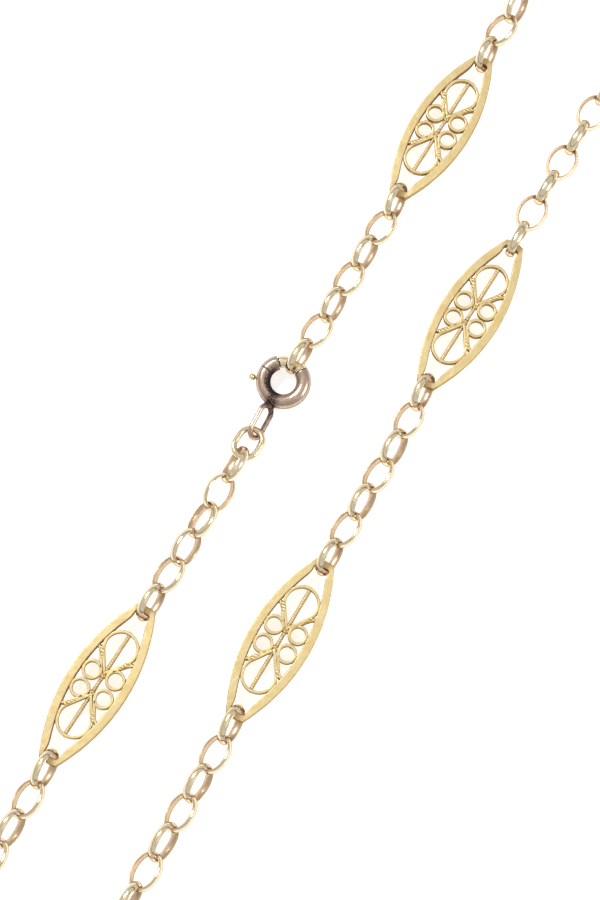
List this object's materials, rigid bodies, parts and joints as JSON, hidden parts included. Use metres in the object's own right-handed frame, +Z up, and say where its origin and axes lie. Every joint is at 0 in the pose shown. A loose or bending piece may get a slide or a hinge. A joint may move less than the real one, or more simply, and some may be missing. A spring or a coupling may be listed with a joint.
{
  "type": "filigree necklace",
  "caption": "Gold necklace of pierced lens-shaped filigree panels and broad belcher links, closed by a bolt ring clasp, laid flat as a loop.",
  "frame": {"origin": "on the surface that the necklace lies on, under the middle of the loop", "axes": "+Y along the two straight strands, from the clasp towards the first panel, +X from the strand with the clasp to the other one, +Z up from the surface"},
  "size_m": [0.0369, 0.2014, 0.0033],
  "materials": {
    "panel_gold": "pale yellow gold, softly polished, with a little tarnish in the corners",
    "link_gold": "pale yellow gold, polished outside, browner inside",
    "clasp_gold": "coppery, tarnished gold"
  },
  "bodies": {
    "root": {"panel_01": "panel_gold", "panel_02": "panel_gold", "panel_03": "panel_gold", "panel_04": "panel_gold", "panel_05": "panel_gold", "panel_06": "panel_gold", "panel_07": "panel_gold", "panel_08": "panel_gold", "panel_09": "panel_gold", "panel_10": "panel_gold", "chain_01": "link_gold", "chain_02": "link_gold", "chain_03": "link_gold", "chain_04": "link_gold", "chain_05": "link_gold", "chain_06": "link_gold", "chain_07": "link_gold", "chain_08": "link_gold", "chain_09": "link_gold", "chain_10": "link_gold", "chain_11": "link_gold", "bolt_ring": "clasp_gold", "jump_ring": "link_gold"},
    "trigger": {"bolt_trigger": "panel_gold"}
  },
  "joints": [
    {"name": "trigger_slide", "type": "hinge", "parent": "root", "child": "trigger", "pos_m": [-0.0069, 0.00293, 0.0013], "axis": [0, -0.0785, 0.9969], "range_deg": [0, 50], "stiffness_Nm_per_rad": 0.002}
  ]
}
